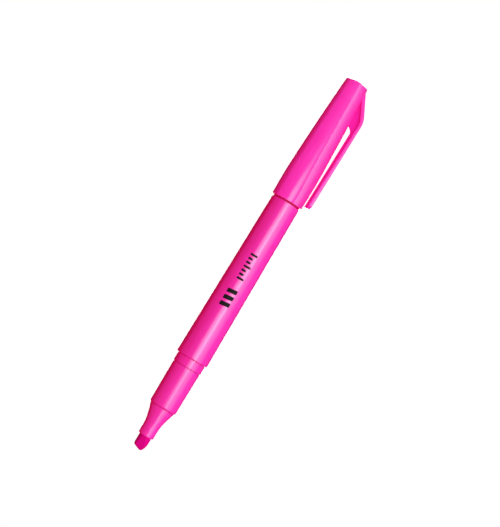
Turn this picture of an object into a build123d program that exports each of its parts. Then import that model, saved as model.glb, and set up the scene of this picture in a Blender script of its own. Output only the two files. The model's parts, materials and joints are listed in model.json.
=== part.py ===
from build123d import *
import math
import os

# Slim capped highlighter with its cap posted on the rear of the barrel, lying on a flat surface.
#
# Building frame: the pen's axis is X, with x = 0 at the nib's tip and +X towards the cap's closed
# end. The clip stands out along +Y, and everything is symmetric about the XY plane.
# Row frame: the whole pen is rolled about its axis until the clip's outer edge rests on the ground,
# and the origin is then moved to the bottom centre of its bounding box. All sizes are millimetres.

# ---- stations along the axis, from the nib's tip ----
NIB_EXPOSED = 5.1
NOSE_STRAIGHT_END = 9.0
FLARE_END = 16.3
SECTION_START = 16.9
NIB_BORE_END = 24.0
RESERVOIR_FRONT = 31.0
BAND_START = 32.3
NIB_REAR = 35.0
BARREL_FRONT = 35.56
SPIGOT_END = 43.5
RIB_FRONT = 46.0
CAP_MOUTH = 97.9
RIB_REAR = 109.0
RESERVOIR_REAR = 110.0
PLUG_FRONT = 111.0
BARREL_REAR = 116.0
PLUG_END = 118.4
CAP_END = 145.84

# ---- radii ----
NIB_R = 2.22
NOSE_R = 2.80
NOSE_REAR_R = 2.84
FLARE_END_R = 4.62
SECTION_FRONT_R = 4.96
SECTION_REAR_R = 5.10
BAND_R = 5.24
BARREL_FRONT_R = 5.85
BARREL_MOUTH_R = 5.22
SPIGOT_R = 4.90
RESERVOIR_R = 3.60
PLUG_TAIL_R = 4.85
PLUG_NOSE_R = 2.65

# ---- walls, fits and small features ----
PRESS_GAP = 0.02
SLIP_GAP = 0.05
BARREL_WALL = 0.80
SLEEVE_WALL = 0.12
PLUG_WALL = 0.90
EDGE = 0.12
NOSE_ROUND = 0.35
RING_WIDTH = 0.20
RING_DEPTH = 0.25
STOP_RING_WIDTH = 0.45
STOP_RING_DEPTH = 0.35
BEAD_HEIGHT = 0.10
BEAD_HALF_LENGTH = 0.45
BEAD_TOP_HALF_LENGTH = 0.15
VENT_GROOVES = 4
VENT_R = 0.35
BARREL_RIBS = 4
BARREL_RIB_WIDTH = 0.7
RIB_BITE = 0.3

# ---- nib chisel: a slanted writing edge between two flats ----
EDGE_LOW = (1.25, -1.95)
EDGE_HIGH = (0.05, 0.75)
EDGE_CORNER = (0.05, 1.12)
BACK_BEVEL_START = (0.35, 1.30)
BACK_BEVEL_END = (2.50, 2.15)
CHISEL_EDGE_HALF = 0.55
CHISEL_FLAT_END = 4.6

# ---- cap: outer radius at depths from its mouth ----
CAP_MOUTH_R = 5.72
CAP_WIDEST_DEPTH = 7.0
CAP_WIDEST_R = 5.85
CAP_SIDE = [(18.5, 5.58), (32.0, 5.00), (46.3, 4.20)]
CAP_DOME_DEPTH = 47.0
CAP_DOME_R = 3.67
MOUTH_SLOPE = 0.03
END_SLOPE = -0.062

# ---- cap bore, and the inner cap that seals on the nose ----
BORE_STRAIGHT_DEPTH = 18.7
BORE_SHOULDER_DEPTH = 24.0
BORE_SHOULDER_R = 4.60
BORE_CONE_DEPTH = 38.5
BORE_CONE_R = 3.80
BORE_END_DEPTH = 45.4
BORE_END_R = 3.10
BORE_END_CORNER = 0.8
LINER_FRONT_DEPTH = 25.6
LINER_SEAL_FRONT = 27.4
LINER_SEAL_REAR = 30.6
LINER_CAVITY_END = 36.9
LINER_REAR_DEPTH = 37.9
LINER_ENTRY_R = 3.70
LINER_SEAL_R = 2.87
LINER_CAVITY_R = 3.10
LINER_STEP = 0.35

# ---- clip: a flat strip with a stiffening rib under it, T-shaped in section ----
CLIP_TIP = 99.35
CLIP_TIP_OUTER_R = 8.36
CLIP_BEND = 132.3
CLIP_BEND_OUTER_R = 8.76
CLIP_BEND_END = (136.2, 7.85)
CLIP_ROOT_END = (145.1, 3.40)
CLIP_ROOT_INSIDE = (144.2, 3.20)
UNDERSIDE_ROOT_END = (140.3, 4.36)
CLIP_KNEE = (133.6, 7.64)
CLIP_TIP_THICKNESS = 1.40
CLIP_THICKNESS = 1.13
CLIP_HALF_WIDTH = 2.10
CLIP_ROOT_HALF_WIDTH = 1.45
CLIP_EDGE_ROUND = 0.25
CLIP_TIP_ROUND = 0.90
CLIP_PLAN_ROUND = 1.30
RIB_HALF_WIDTH = 0.60
RIB_TIP_INNER_R = 6.12
RIB_ROOT = (129.4, 6.56)
WEB_FOOT = (131.3, 4.4)
WEB_FAR_FOOT = (141.0, 3.9)
WEB_FILLET = 0.90
CLIP_SPLIT = 129.30
CLIP_SPLIT_GAP = 0.04

FAR = 60
OVER = 1.0


def lathe(outline):
    """Solid of revolution about the X axis, from an outline given as points or as joined edges."""
    if isinstance(outline[0], tuple):
        loop = Polyline(*outline, close=True)
    else:
        loop = Wire(outline)
    return revolve(make_face(loop), axis=Axis.X)


def ring(x0, x1, r_in, r_out):
    """Plain tube between two stations; r_in of 0 makes a rod."""
    return lathe([(x0, r_in), (x1, r_in), (x1, r_out), (x0, r_out)])


def ring_groove(x0, x1, r, depth):
    """Cutter for a narrow groove round a surface of radius r."""
    return ring(x0, x1, r - depth, r + OVER)


def plate(edges, half_width):
    """Side outline in the XY plane, given a width each way along Z."""
    return extrude(make_face(Wire(edges)), amount=half_width, both=True)


def joined(points):
    """Straight edges from point to point."""
    return [Line(a, b) for a, b in zip(points, points[1:])]


def along(x, start, end):
    """Radius at station x on the straight line from start to end, each an (x, radius) pair."""
    return start[1] + (end[1] - start[1]) * (x - start[0]) / (end[0] - start[0])


def barrel_r(x):
    """The barrel tapers evenly from its front shoulder to its rear."""
    return along(x, (BARREL_FRONT, BARREL_FRONT_R), (CAP_MOUTH, BARREL_MOUTH_R))


def barrel_bore_r(x):
    return barrel_r(x) - BARREL_WALL


def cap_bore_r(depth):
    """Cap bore over the stretch that the barrel and the front section enter."""
    return barrel_r(CAP_MOUTH + depth) + SLIP_GAP


def liner_r(depth):
    """Cone that the cap's bore and the inner cap share."""
    return along(depth, (BORE_SHOULDER_DEPTH, BORE_SHOULDER_R), (BORE_CONE_DEPTH, BORE_CONE_R))


def clip_outer_r(x):
    return along(x, (CLIP_TIP, CLIP_TIP_OUTER_R), (CLIP_BEND, CLIP_BEND_OUTER_R))


def snap_ring(base_r, half_length, top_half_length, height):
    """Low ridge halfway along the spigot, which snaps into a groove of the same form."""
    mid = (BARREL_FRONT + SPIGOT_END) / 2
    sunk = base_r - 2 * height
    return lathe([
        (mid - half_length, sunk),
        (mid + half_length, sunk),
        (mid + half_length, base_r),
        (mid + top_half_length, base_r + height),
        (mid - top_half_length, base_r + height),
        (mid - half_length, base_r),
    ])


def make_barrel():
    socket_r = SPIGOT_R + PRESS_GAP
    bore_front = SPIGOT_END + 0.5
    tube = lathe([
        (BARREL_FRONT, socket_r),
        (SPIGOT_END, socket_r),
        (bore_front, barrel_bore_r(bore_front)),
        (BARREL_REAR, barrel_bore_r(BARREL_REAR)),
        (BARREL_REAR, barrel_r(BARREL_REAR) - EDGE),
        (BARREL_REAR - EDGE, barrel_r(BARREL_REAR - EDGE)),
        (BARREL_FRONT + EDGE, barrel_r(BARREL_FRONT + EDGE)),
        (BARREL_FRONT, BARREL_FRONT_R - EDGE),
    ])
    tube -= snap_ring(socket_r, 2 * BEAD_HALF_LENGTH, BEAD_HALF_LENGTH, BEAD_HEIGHT)
    tube -= ring_groove(CAP_MOUTH - STOP_RING_WIDTH, CAP_MOUTH, BARREL_MOUTH_R, STOP_RING_DEPTH)
    rib_r = RESERVOIR_R + SLEEVE_WALL + SLIP_GAP
    rib = plate(joined([
        (RIB_FRONT, rib_r),
        (RIB_REAR, rib_r),
        (RIB_REAR, barrel_bore_r(RIB_REAR) + RIB_BITE),
        (RIB_FRONT, barrel_bore_r(RIB_FRONT) + RIB_BITE),
        (RIB_FRONT, rib_r),
    ]), BARREL_RIB_WIDTH / 2)
    for i in range(BARREL_RIBS):
        tube += Rot(X=i * 360 / BARREL_RIBS) * rib
    return tube


def make_front_section():
    tip = (NIB_EXPOSED, NOSE_R - NOSE_ROUND)
    tip_side = (NIB_EXPOSED + NOSE_ROUND, NOSE_R)
    tip_mid = (
        NIB_EXPOSED + NOSE_ROUND * (1 - math.sqrt(0.5)),
        NOSE_R - NOSE_ROUND * (1 - math.sqrt(0.5)),
    )
    nose_end = (NOSE_STRAIGHT_END, NOSE_REAR_R)
    flare_end = (FLARE_END, FLARE_END_R)
    outline = [
        Line((NIB_EXPOSED, 0), tip),
        ThreePointArc(tip, tip_mid, tip_side),
        Line(tip_side, nose_end),
        Spline(nose_end, (11.1, 3.08), (13.7, 3.74), flare_end, tangents=[(1, 0.02), (1, 0.42)]),
    ]
    outline += joined([
        flare_end,
        (SECTION_START, SECTION_FRONT_R),
        (BAND_START, SECTION_REAR_R),
        (BAND_START, BAND_R - EDGE / 2),
        (BAND_START + EDGE / 2, BAND_R),
        (BARREL_FRONT, BAND_R),
        (BARREL_FRONT, SPIGOT_R),
        (SPIGOT_END - NOSE_ROUND, SPIGOT_R),
        (SPIGOT_END, SPIGOT_R - NOSE_ROUND),
        (SPIGOT_END, 0),
        (NIB_EXPOSED, 0),
    ])
    body = lathe(outline)
    body += snap_ring(SPIGOT_R, BEAD_HALF_LENGTH, BEAD_TOP_HALF_LENGTH, BEAD_HEIGHT)
    body -= ring_groove(FLARE_END - RING_WIDTH / 2, FLARE_END + RING_WIDTH / 2, FLARE_END_R, RING_DEPTH)
    body -= ring_groove(BAND_START - RING_WIDTH, BAND_START, SECTION_REAR_R, RING_DEPTH)
    body -= ring_groove(BARREL_FRONT - RING_WIDTH, BARREL_FRONT, BAND_R, RING_DEPTH)
    body -= ring(NIB_EXPOSED - OVER, NIB_BORE_END + OVER, 0, NIB_R + PRESS_GAP)
    chamber_r = RESERVOIR_R + SLEEVE_WALL + SLIP_GAP
    body -= lathe([
        (NIB_BORE_END, 0),
        (SPIGOT_END + OVER, 0),
        (SPIGOT_END + OVER, chamber_r),
        (NIB_BORE_END + OVER, chamber_r),
        (NIB_BORE_END, NIB_R + 2 * VENT_R),
    ])
    groove_length = NIB_BORE_END - NIB_EXPOSED - OVER
    groove = Cylinder(VENT_R, groove_length, rotation=(0, 90, 0))
    groove = Pos(NIB_BORE_END + OVER - groove_length / 2, NIB_R, 0) * groove
    for i in range(VENT_GROOVES):
        body -= Rot(X=(i + 0.5) * 360 / VENT_GROOVES) * groove
    return body


def make_nib():
    """Fibre rod cut to a slanted chisel edge, with two flats that meet at the edge."""
    chamfer_run = 0.6
    rod = lathe([
        (0, 0),
        (0, NIB_R),
        (NIB_REAR - chamfer_run, NIB_R),
        (NIB_REAR, NIB_R - chamfer_run),
        (NIB_REAR, 0),
    ])
    beyond = NIB_REAR + OVER
    wide = NIB_R + OVER
    side = joined([EDGE_LOW, EDGE_HIGH])
    side += [ThreePointArc(EDGE_HIGH, EDGE_CORNER, BACK_BEVEL_START)]
    side += joined([
        BACK_BEVEL_START,
        BACK_BEVEL_END,
        (CHISEL_FLAT_END, wide),
        (beyond, wide),
        (beyond, -wide),
        (CHISEL_FLAT_END / 2, -wide),
        EDGE_LOW,
    ])
    wedge = Polyline(
        (-OVER, -CHISEL_EDGE_HALF),
        (0, -CHISEL_EDGE_HALF),
        (CHISEL_FLAT_END, -NIB_R),
        (beyond, -NIB_R),
        (beyond, NIB_R),
        (CHISEL_FLAT_END, NIB_R),
        (0, CHISEL_EDGE_HALF),
        (-OVER, CHISEL_EDGE_HALF),
        close=True,
    )
    flats = extrude(make_face(Plane.XZ * wedge), amount=wide, both=True)
    return rod & plate(side, wide) & flats


def make_ink_reservoir():
    """Fibre core, with a pocket in its front end that the nib is pushed into."""
    core = ring(RESERVOIR_FRONT, RESERVOIR_REAR, 0, RESERVOIR_R)
    return core - ring(RESERVOIR_FRONT - OVER, NIB_REAR + SLIP_GAP, 0, NIB_R + PRESS_GAP)


def make_reservoir_sleeve():
    """Thin film round the core, a little shorter than it at each end."""
    overhang = 0.5
    return ring(
        RESERVOIR_FRONT + overhang,
        RESERVOIR_REAR - overhang,
        RESERVOIR_R + PRESS_GAP,
        RESERVOIR_R + SLEEVE_WALL,
    )


def make_rear_plug():
    """Cup pressed into the barrel's rear, with a collar and a rounded tail behind it."""
    skirt_r = barrel_bore_r(BARREL_REAR) - PRESS_GAP
    collar_end = BARREL_REAR + 1.2
    outline = joined([
        (PLUG_END, PLUG_NOSE_R),
        (PLUG_END, 0),
        (PLUG_FRONT, 0),
        (PLUG_FRONT, skirt_r - NOSE_ROUND),
        (PLUG_FRONT + NOSE_ROUND, skirt_r),
        (BARREL_REAR, skirt_r),
        (BARREL_REAR, PLUG_TAIL_R),
        (collar_end, PLUG_TAIL_R),
    ])
    shoulder = (PLUG_END - 0.35, PLUG_TAIL_R - 0.85)
    outline += [ThreePointArc((collar_end, PLUG_TAIL_R), shoulder, (PLUG_END, PLUG_NOSE_R))]
    return lathe(outline) - ring(PLUG_FRONT - OVER, PLUG_END - OVER, 0, skirt_r - PLUG_WALL)


def make_cap_form():
    """Cap shell as a full form: it swells a little behind the mouth and narrows to a dome."""
    mouth = (CAP_MOUTH, CAP_MOUTH_R - EDGE)
    side_start = (CAP_MOUTH + EDGE, CAP_MOUTH_R)
    widest = (CAP_MOUTH + CAP_WIDEST_DEPTH, CAP_WIDEST_R)
    side_points = [(CAP_MOUTH + depth, r) for depth, r in CAP_SIDE]
    dome_start = (CAP_MOUTH + CAP_DOME_DEPTH, CAP_DOME_R)
    apex = (CAP_END, 0)
    rise = apex[0] - dome_start[0]
    sphere_r = (CAP_DOME_R ** 2 + rise ** 2) / (2 * rise)
    half_angle = math.asin(CAP_DOME_R / sphere_r) / 2
    dome_mid = (
        CAP_END - sphere_r * (1 - math.cos(half_angle)),
        sphere_r * math.sin(half_angle),
    )
    return lathe([
        Line((CAP_MOUTH, 0), mouth),
        Line(mouth, side_start),
        Spline(side_start, widest, *side_points, tangents=[(1, MOUTH_SLOPE), (1, END_SLOPE)]),
        Spline(side_points[-1], dome_start, tangents=[(1, END_SLOPE), (1, -2)]),
        ThreePointArc(dome_start, dome_mid, apex),
        Line(apex, (CAP_MOUTH, 0)),
    ])


def make_cap(clip_root):
    m = CAP_MOUTH
    bore = lathe([
        (m - OVER, 0),
        (m - OVER, cap_bore_r(0)),
        (m, cap_bore_r(0)),
        (m + BORE_STRAIGHT_DEPTH, cap_bore_r(BORE_STRAIGHT_DEPTH)),
        (m + BORE_SHOULDER_DEPTH, BORE_SHOULDER_R),
        (m + BORE_CONE_DEPTH, BORE_CONE_R),
        (m + BORE_END_DEPTH - BORE_END_CORNER, BORE_END_R),
        (m + BORE_END_DEPTH, BORE_END_R - BORE_END_CORNER),
        (m + BORE_END_DEPTH, 0),
    ])
    return make_cap_form() + clip_root - bore


def make_inner_cap():
    """Liner pressed into the cap: a funnel, a sealing land for the nose, and a cavity for the nib."""
    m = CAP_MOUTH
    return lathe([
        (m + LINER_FRONT_DEPTH, LINER_ENTRY_R),
        (m + LINER_FRONT_DEPTH, liner_r(LINER_FRONT_DEPTH) - PRESS_GAP),
        (m + LINER_REAR_DEPTH, liner_r(LINER_REAR_DEPTH) - PRESS_GAP),
        (m + LINER_REAR_DEPTH, 0),
        (m + LINER_CAVITY_END, 0),
        (m + LINER_CAVITY_END, LINER_CAVITY_R - LINER_STEP),
        (m + LINER_CAVITY_END - LINER_STEP, LINER_CAVITY_R),
        (m + LINER_SEAL_REAR + LINER_STEP, LINER_CAVITY_R),
        (m + LINER_SEAL_REAR, LINER_SEAL_R),
        (m + LINER_SEAL_FRONT, LINER_SEAL_R),
    ])


def strip_plan():
    """Plan form of the clip's strip: round corners at its free end, narrower along its root."""
    end = CLIP_ROOT_END[0]
    taper = CLIP_BEND_END[0]
    v = CLIP_ROOT_HALF_WIDTH
    c = CLIP_PLAN_ROUND
    w = CLIP_HALF_WIDTH
    d = c * (1 - math.sqrt(0.5))
    left = ThreePointArc((CLIP_TIP, w - c), (CLIP_TIP + d, w - d), (CLIP_TIP + c, w))
    right = ThreePointArc((CLIP_TIP + c, -w), (CLIP_TIP + d, -w + d), (CLIP_TIP, -w + c))
    outline = [Line((CLIP_TIP, -w + c), (CLIP_TIP, w - c)), left]
    upper = [(CLIP_TIP + c, w), (taper, w), (end, v)]
    lower = [(end, -v), (taper, -w), (CLIP_TIP + c, -w)]
    outline += joined(upper + lower)
    outline += [right]
    return extrude(Plane.XZ * make_face(Wire(outline)), amount=FAR, both=True)


def strip_tip_side():
    """Side form of the strip's free end: its outer corner is a quarter round."""
    end = CLIP_ROOT_END[0] + OVER
    c = CLIP_TIP_ROUND
    top = CLIP_TIP_OUTER_R
    d = c * (1 - math.sqrt(0.5))
    outline = [ThreePointArc((CLIP_TIP, top - c), (CLIP_TIP + d, top - d), (CLIP_TIP + c, top))]
    outline += joined([
        (CLIP_TIP + c, top),
        (CLIP_TIP + c, FAR),
        (end, FAR),
        (end, 0),
        (CLIP_TIP, 0),
        (CLIP_TIP, top - c),
    ])
    return plate(outline, CLIP_HALF_WIDTH + OVER)


def make_strip():
    """The clip's strip: straight arm, bend and slanted root that runs into the cap's end."""
    before_tip = CLIP_TIP - OVER
    bend = (CLIP_BEND, CLIP_BEND_OUTER_R)
    arm_slope = (CLIP_BEND_OUTER_R - CLIP_TIP_OUTER_R) / (CLIP_BEND - CLIP_TIP)
    root_run = (CLIP_ROOT_END[0] - CLIP_BEND_END[0], CLIP_ROOT_END[1] - CLIP_BEND_END[1])
    outline = joined([
        CLIP_BEND_END,
        CLIP_ROOT_END,
        CLIP_ROOT_INSIDE,
        UNDERSIDE_ROOT_END,
        CLIP_KNEE,
        (before_tip, CLIP_TIP_OUTER_R - CLIP_TIP_THICKNESS),
        (before_tip, clip_outer_r(before_tip)),
        bend,
    ])
    outline += [Spline(bend, CLIP_BEND_END, tangents=[(1, arm_slope), root_run])]
    strip = plate(outline, CLIP_HALF_WIDTH)
    middle = CLIP_TIP_OUTER_R - CLIP_THICKNESS / 2
    outer_edges = strip.edges().filter_by(
        lambda edge: abs(edge.center().Z) > CLIP_HALF_WIDTH / 2 and edge.center().Y > middle
    )
    strip = fillet(outer_edges, CLIP_EDGE_ROUND)
    return strip & strip_plan() & strip_tip_side()


def make_rib():
    """The rib under the strip, which deepens at the root into a gusset web down to the cap."""
    front = CLIP_TIP + EDGE
    face = make_face(Polyline(
        (front, RIB_TIP_INNER_R),
        RIB_ROOT,
        WEB_FOOT,
        WEB_FAR_FOOT,
        (CLIP_BEND + CLIP_THICKNESS, CLIP_BEND_OUTER_R - CLIP_THICKNESS / 2),
        (front, CLIP_TIP_OUTER_R - CLIP_THICKNESS / 2),
        close=True,
    ))
    corner = face.vertices().sort_by_distance((*RIB_ROOT, 0))[0]
    return extrude(fillet(corner, WEB_FILLET), amount=RIB_HALF_WIDTH, both=True)


def split_clip():
    """The clip in two: the arm that flexes, and the root that is one with the cap."""
    clip = make_strip() + make_rib()
    tip_side = Box(FAR, FAR, FAR)
    arm = clip & Pos(CLIP_SPLIT - FAR / 2, 0, 0) * tip_side
    root = clip - Pos(CLIP_SPLIT + CLIP_SPLIT_GAP - FAR / 2, 0, 0) * tip_side
    return arm, root


def resting_roll():
    """Angle below the horizontal at which the clip's outer edge and the barrel share the ground."""
    radial = CLIP_BEND_OUTER_R - CLIP_EDGE_ROUND
    lateral = CLIP_HALF_WIDTH - CLIP_EDGE_ROUND
    lift = BARREL_FRONT_R - CLIP_EDGE_ROUND
    return math.degrees(math.asin(lift / math.hypot(radial, lateral)) - math.atan2(lateral, radial))


def main():
    clip_arm, clip_root = split_clip()
    pieces = {
        "barrel": make_barrel(),
        "front_section": make_front_section(),
        "nib": make_nib(),
        "ink_reservoir": make_ink_reservoir(),
        "reservoir_sleeve": make_reservoir_sleeve(),
        "rear_plug": make_rear_plug(),
        "cap": make_cap(clip_root),
        "inner_cap": make_inner_cap(),
        "clip_arm": clip_arm,
    }
    roll = resting_roll()
    rolled = {name: Rot(X=180 + roll) * piece for name, piece in pieces.items()}
    box = Compound(children=[Compound(piece.solids()) for piece in rolled.values()]).bounding_box()
    to_row = Pos(-(box.min.X + box.max.X) / 2, -(box.min.Y + box.max.Y) / 2, -box.min.Z)
    os.makedirs("parts", exist_ok=True)
    for name, piece in rolled.items():
        export_step(to_row * piece, f"parts/{name}.step")
    print("clip below the horizontal, degrees:", round(roll, 3))
    print("nib tip's axis point in the row frame:", [round(v, 4) for v in to_row.position])


main()
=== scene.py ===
import json
import math

import bmesh
import bpy
import numpy as np
from mathutils import Matrix, Vector


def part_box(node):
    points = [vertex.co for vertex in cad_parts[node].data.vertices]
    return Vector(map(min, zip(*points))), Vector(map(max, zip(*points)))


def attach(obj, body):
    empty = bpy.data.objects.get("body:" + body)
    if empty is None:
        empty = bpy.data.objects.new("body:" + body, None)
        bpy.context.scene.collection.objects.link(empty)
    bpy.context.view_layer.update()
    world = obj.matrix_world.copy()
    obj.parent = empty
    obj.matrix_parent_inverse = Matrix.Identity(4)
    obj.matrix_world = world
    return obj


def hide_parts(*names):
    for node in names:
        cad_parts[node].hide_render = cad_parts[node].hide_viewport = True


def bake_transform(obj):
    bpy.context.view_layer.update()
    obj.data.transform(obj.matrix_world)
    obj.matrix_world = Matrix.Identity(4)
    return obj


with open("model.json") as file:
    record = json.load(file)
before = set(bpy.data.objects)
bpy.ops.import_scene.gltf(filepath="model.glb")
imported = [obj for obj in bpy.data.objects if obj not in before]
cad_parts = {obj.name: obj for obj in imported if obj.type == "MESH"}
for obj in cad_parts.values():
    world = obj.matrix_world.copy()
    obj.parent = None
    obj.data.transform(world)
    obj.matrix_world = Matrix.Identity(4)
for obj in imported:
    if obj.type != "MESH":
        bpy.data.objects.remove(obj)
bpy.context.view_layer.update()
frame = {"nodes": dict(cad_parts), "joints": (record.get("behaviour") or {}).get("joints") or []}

# Everything below is built in the pen's own frame and then placed by PEN_TO_ROW: millimetres, x along
# the axis from the nib's tip towards the cap's end, y out through the clip, z away from the side that
# the camera sees. The pen's axis and the clip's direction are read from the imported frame.
MM = 0.001
CAP_END = 145.84
flex_joint = next(j for j in frame["joints"] if j["name"] == "clip_flex")
barrel_low, barrel_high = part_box("barrel")
ALONG = Vector((1, 0, 0))
OUT = ALONG.cross(Vector(flex_joint["axis"])).normalized()
TOWARDS = OUT.cross(ALONG)
NIB_TIP = Vector((
    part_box("cap")[1].x - CAP_END * MM,
    (barrel_low.y + barrel_high.y) / 2,
    (barrel_low.z + barrel_high.z) / 2,
))
PEN_TO_ROW = Matrix.Translation(NIB_TIP) @ Matrix((ALONG, OUT, -TOWARDS)).transposed().to_4x4()
PEN_TO_ROW = PEN_TO_ROW @ Matrix.Scale(MM, 4)

# ---- stations, radii and widths in millimetres ----
NIB_EXPOSED = 5.4
NOSE_STRAIGHT_END = 9.0
FLARE_END = 16.3
SECTION_START = 16.9
NIB_BORE_END = 24.0
BAND_START = 32.3
BARREL_FRONT = 35.56
SPIGOT_END = 43.5
CAP_MOUTH = 97.9
PLUG_FRONT = 111.0
BARREL_REAR = 116.0
PLUG_END = 118.4
NIB_R = 2.22
NOSE_R = 2.80
FLARE_POINTS = [(9.0, 2.84), (11.1, 3.08), (13.7, 3.74), (16.3, 4.62)]
SECTION_FRONT_R = 4.96
SECTION_REAR_R = 5.10
BAND_R = 5.24
BARREL_FRONT_R = 5.85
BARREL_MOUTH_R = 5.22
SPIGOT_R = 4.90
CHAMBER_R = 3.77
BARREL_WALL = 0.80
CAP_SIDE = [(0.12, 5.72), (7.0, 5.85), (18.5, 5.58), (32.0, 5.00), (46.3, 4.20)]
CAP_DOME_DEPTH = 47.0
CAP_DOME_R = 3.67
CLIP_TIP = 99.35
CLIP_TIP_OUTER_R = 8.36
CLIP_BEND = 132.3
CLIP_BEND_OUTER_R = 8.76
CLIP_BEND_END = (136.2, 7.85)
CLIP_ROOT_END = (145.1, 3.40)
CLIP_KNEE = (133.6, 7.64)
UNDERSIDE_ROOT_END = (140.3, 4.36)
CLIP_TIP_THICKNESS = 1.40
RING_WIDTH = 0.20
RING_DEPTH = 0.25
STOP_RING_WIDTH = 0.65
STOP_RING_DEPTH = 0.35
CLIP_HALF_WIDTH = 2.10
CLIP_ROOT_HALF_WIDTH = 1.45
RIB_HALF_WIDTH = 0.60
RIB_TIP_INNER_R = 6.12
RIB_ROOT = (129.4, 6.56)
WEB_FOOT = (131.3, 4.4)

SEGMENTS = 192
ON_AXIS = 1e-6
FIT_GAP = 0.02


# ---------------------------------------------------------------- curves and meshes

def along(x, start, end):
    """Value at x on the straight line from start to end."""
    return start[1] + (end[1] - start[1]) * (x - start[0]) / (end[0] - start[0])


def smooth_step(x, low, high):
    t = min(1.0, max(0.0, (x - low) / (high - low)))
    return t * t * (3 - 2 * t)


def cubic_through(points, slope0, slope1):
    """Smooth cubic through the points with given end slopes, as a function of x."""
    x = np.array([p[0] for p in points], float)
    y = np.array([p[1] for p in points], float)
    n = len(x)
    h = np.diff(x)
    d = np.diff(y) / h
    a = np.zeros((n, n))
    b = np.zeros(n)
    a[0, 0] = a[-1, -1] = 1
    b[0], b[-1] = slope0, slope1
    for i in range(1, n - 1):
        a[i, i - 1] = h[i]
        a[i, i] = 2 * (h[i - 1] + h[i])
        a[i, i + 1] = h[i - 1]
        b[i] = 3 * (h[i] * d[i - 1] + h[i - 1] * d[i])
    m = np.linalg.solve(a, b)

    def value(at):
        i = int(np.clip(np.searchsorted(x, at) - 1, 0, n - 2))
        t = (at - x[i]) / h[i]
        return float(
            (2 * t ** 3 - 3 * t ** 2 + 1) * y[i]
            + (t ** 3 - 2 * t ** 2 + t) * h[i] * m[i]
            + (3 * t ** 2 - 2 * t ** 3) * y[i + 1]
            + (t ** 3 - t ** 2) * h[i] * m[i + 1]
        )

    return value


def rounded(corners, steps=5):
    """Outline with each corner (x, r, radius) rounded by an arc of that radius. A radius of 0 leaves
    the corner as a point."""
    out = []
    for i, (x, r, radius) in enumerate(corners):
        here = np.array((x, r), float)
        inner = 0 < i < len(corners) - 1
        if not radius or not inner:
            out.append(here)
            continue
        before = np.array(corners[i - 1][:2], float) - here
        after = np.array(corners[i + 1][:2], float) - here
        u = before / np.linalg.norm(before)
        v = after / np.linalg.norm(after)
        half = math.acos(float(np.clip(u @ v, -1, 1))) / 2
        reach = radius / math.tan(half)
        centre = here + (u + v) / np.linalg.norm(u + v) * radius / math.sin(half)
        first, last = here + u * reach - centre, here + v * reach - centre
        turn = math.atan2(first[0] * last[1] - first[1] * last[0], float(first @ last))
        for k in range(steps + 1):
            c, s = math.cos(turn * k / steps), math.sin(turn * k / steps)
            out.append(centre + (c * first[0] - s * first[1], s * first[0] + c * first[1]))
    return supported(out)


def supported(points, near=0.08, longest=3.0):
    """Extra points on long runs: one close to each end, so that shading stays true, and even steps
    between."""
    out = [points[0]]
    for a, b in zip(points, points[1:]):
        a, b = np.array(a, float), np.array(b, float)
        length = float(np.linalg.norm(b - a))
        if length > 5 * near:
            stops = [near / length]
            count = max(1, math.ceil(length / longest))
            stops += [k / count for k in range(1, count)]
            stops += [1 - near / length]
            out += [a + (b - a) * t for t in stops]
        if length > ON_AXIS:
            out.append(b)
    return out


def build(name, vertices, faces, smooth=True):
    """A mesh object from pen-frame vertices, in row-frame metres."""
    mesh = bpy.data.meshes.new(name)
    mesh.from_pydata([tuple(PEN_TO_ROW @ Vector(v)) for v in vertices], [], faces)
    mesh.validate()
    mesh.update()
    if smooth:
        mesh.shade_smooth()
    piece = bpy.data.objects.new(name, mesh)
    bpy.context.scene.collection.objects.link(piece)
    return piece


def lathe_mesh(outline, radius_at=None, segments=SEGMENTS):
    """Vertices and faces of a full turn of an outline of (x, r). Ends on the axis close at a pole.
    An outline that ends where it starts makes a ring. radius_at(x, r, angle) may change the radius."""
    outline = [tuple(p) for p in outline]
    ring = math.dist(outline[0], outline[-1]) < ON_AXIS
    if ring:
        outline = outline[:-1]
    vertices, rows = [], []
    for x, r in outline:
        if r < ON_AXIS:
            rows.append([len(vertices)] * segments)
            vertices.append((x, 0, 0))
            continue
        rows.append([len(vertices) + k for k in range(segments)])
        for k in range(segments):
            angle = 2 * math.pi * k / segments
            reach = radius_at(x, r, angle) if radius_at else r
            vertices.append((x, reach * math.cos(angle), reach * math.sin(angle)))
    pairs = list(zip(rows, rows[1:]))
    if ring:
        pairs.append((rows[-1], rows[0]))
    faces = []
    for low, high in pairs:
        for k in range(segments):
            n = (k + 1) % segments
            corners = [low[k], high[k], high[n], low[n]]
            face = [c for i, c in enumerate(corners) if c != corners[i - 1]]
            if len(face) > 2:
                faces.append(face)
    return vertices, faces


def lathe(name, outline, radius_at=None, segments=SEGMENTS):
    return outward(build(name, *lathe_mesh(outline, radius_at, segments)))


def outward(piece):
    """Turn all faces of a closed mesh outwards."""
    shape = bmesh.new()
    shape.from_mesh(piece.data)
    bmesh.ops.recalc_face_normals(shape, faces=shape.faces)
    shape.to_mesh(piece.data)
    shape.free()
    return piece


def shade(piece, material, inside):
    """Give the faces whose middle is inside, a test of (x, out, across), a second material."""
    piece.data.materials.append(material)
    back = PEN_TO_ROW.inverted()
    for face in piece.data.polygons:
        if inside(back @ face.center):
            face.material_index = 1
    return piece


def shade_grooves(piece, *spans):
    """Give the walls and floor of ring grooves, each (from x, to x, below radius), painted shade: a much
    darker copy of the plastic with less glow and no coat, standing in for the shade in the grooves."""
    def in_groove(at):
        r = math.hypot(at.y, at.z)
        return any(x0 < at.x < x1 and r < limit for x0, x1, limit in spans)

    return shade(piece, PINK_GROOVE_SHADE, in_groove)


def finish_piece(piece, body, slot, material, *replaced):
    """Material and body of a piece, and the CAD nodes that it replaces. slot is not used."""
    piece.data.materials.clear()
    piece.data.materials.append(material)
    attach(piece, body)
    if replaced:
        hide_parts(*replaced)
    return piece


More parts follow.
